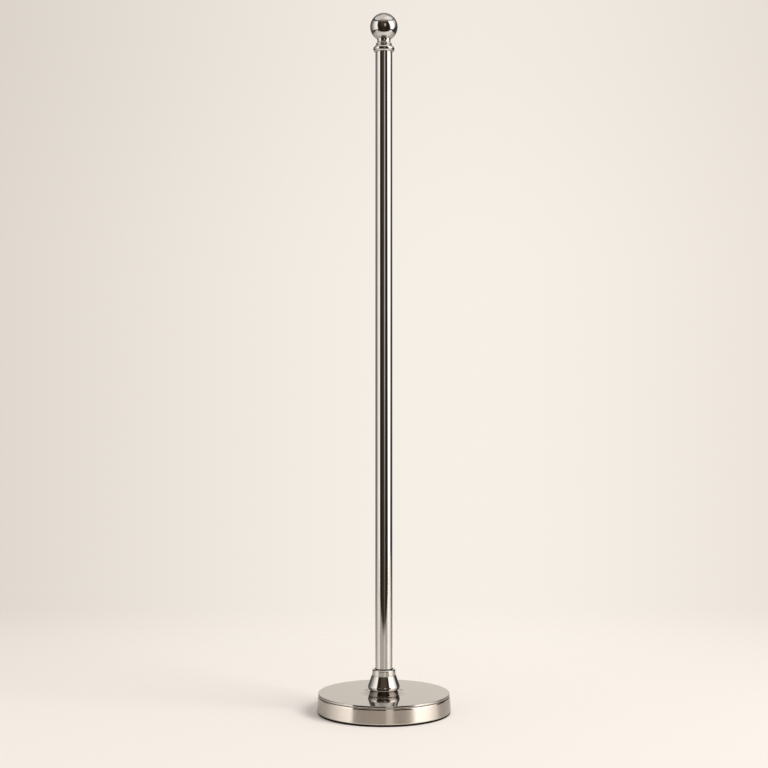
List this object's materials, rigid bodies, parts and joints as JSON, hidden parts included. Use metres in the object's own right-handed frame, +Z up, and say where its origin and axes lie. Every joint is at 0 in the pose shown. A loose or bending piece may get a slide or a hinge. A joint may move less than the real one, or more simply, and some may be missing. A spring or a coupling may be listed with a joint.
{
  "type": "free-standing flagpole",
  "caption": "Free-standing indoor flagpole: polished tube with a ball finial on a turned neck and bead, held in a bell socket on a round weighted base.",
  "frame": {"origin": "on the floor under the pole's axis, in the plane of the foot pad's lower face", "axes": "+Z up along the pole; X and Y are free because the piece is turned about Z"},
  "size_m": [0.35, 0.35, 1.8273],
  "materials": {
    "polished_nickel": "mirror-polished warm nickel plate",
    "brushed_nickel": "nickel plate with a fine turned grain",
    "satin_nickel": "satin nickel plate, brushed round the wall",
    "zinc_steel": "bright zinc plate",
    "iron": "black-painted rough casting",
    "rubber": "matt black rubber"
  },
  "bodies": {
    "root": {"foot_pad": "rubber", "base_skirt": "satin_nickel", "base_plate": "brushed_nickel", "base_weight": "iron", "clamp_washer": "zinc_steel", "clamp_bolt": "zinc_steel", "pole_plug": "zinc_steel", "pole_tube": "polished_nickel", "socket_bell": "polished_nickel", "socket_ring": "polished_nickel", "socket_seal": "rubber", "finial_collar": "polished_nickel", "finial_neck": "polished_nickel", "finial_ball": "polished_nickel"}
  },
  "joints": []
}
